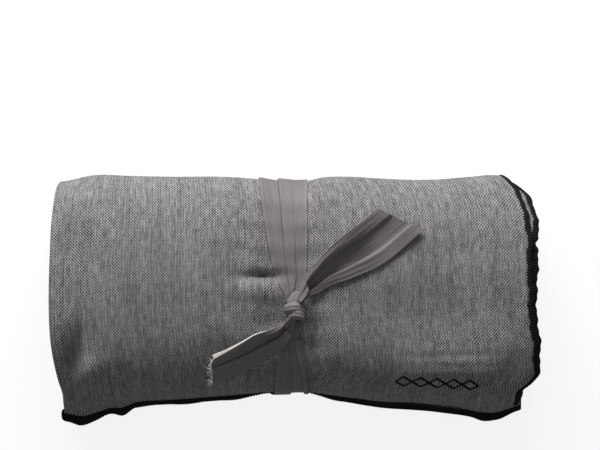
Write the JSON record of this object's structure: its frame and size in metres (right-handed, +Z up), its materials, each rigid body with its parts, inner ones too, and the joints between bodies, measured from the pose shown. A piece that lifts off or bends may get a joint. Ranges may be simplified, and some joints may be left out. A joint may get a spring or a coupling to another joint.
{
  "type": "rolled quick dry towel",
  "caption": "Quick dry towel folded in half, rolled flat and tied round its middle with a woven tape whose two loose ends lift.",
  "frame": {"origin": "centre of the footprint, on the surface the roll lies on", "axes": "+X along the roll, from its folded end to its loose-edged end; +Y towards the side away from the free edge; +Z up, out of the knotted top"},
  "size_m": [0.356, 0.1785, 0.0865],
  "materials": {
    "towel_cotton": "flat-woven grey cotton, matt, with a fine checked weave",
    "tie_tape": "plain-woven flat tape, smoother than the towel, slightly mauve grey",
    "edging_thread": "black overlock thread, close loops",
    "mark_thread": "black satin-stitch thread"
  },
  "bodies": {
    "roll": {"towel_cloth": "towel_cotton", "edging_top_ply": "edging_thread", "edging_under_ply": "edging_thread", "edging_free_end": "edging_thread", "edging_core_end": "edging_thread", "corner_mark": "mark_thread", "tie_band": "tie_tape", "tie_knot": "tie_tape"},
    "left_neck": {"tie_left_neck": "tie_tape"},
    "left_tail": {"tie_left_tail": "tie_tape"},
    "right_neck": {"tie_right_neck": "tie_tape"},
    "right_tail": {"tie_right_tail": "tie_tape"}
  },
  "joints": [
    {"name": "left_neck_lift", "type": "hinge", "parent": "roll", "child": "left_neck", "pos_m": [-0.0072, -0.0108, 0.07633], "axis": [-0.5985, 0.8011, 0], "range_deg": [0, 60]},
    {"name": "left_tail_curl", "type": "hinge", "parent": "left_neck", "child": "left_tail", "pos_m": [-0.02426, -0.02354, 0.0779], "axis": [-0.5985, 0.8011, 0], "range_deg": [0, 45]},
    {"name": "right_neck_lift", "type": "hinge", "parent": "roll", "child": "right_neck", "pos_m": [0.0066, 0.0044, 0.07723], "axis": [0.6144, -0.789, 0], "range_deg": [0, 60]},
    {"name": "right_tail_curl", "type": "hinge", "parent": "right_neck", "child": "right_tail", "pos_m": [0.02849, 0.02145, 0.08087], "axis": [0.6144, -0.789, 0], "range_deg": [0, 45]}
  ]
}
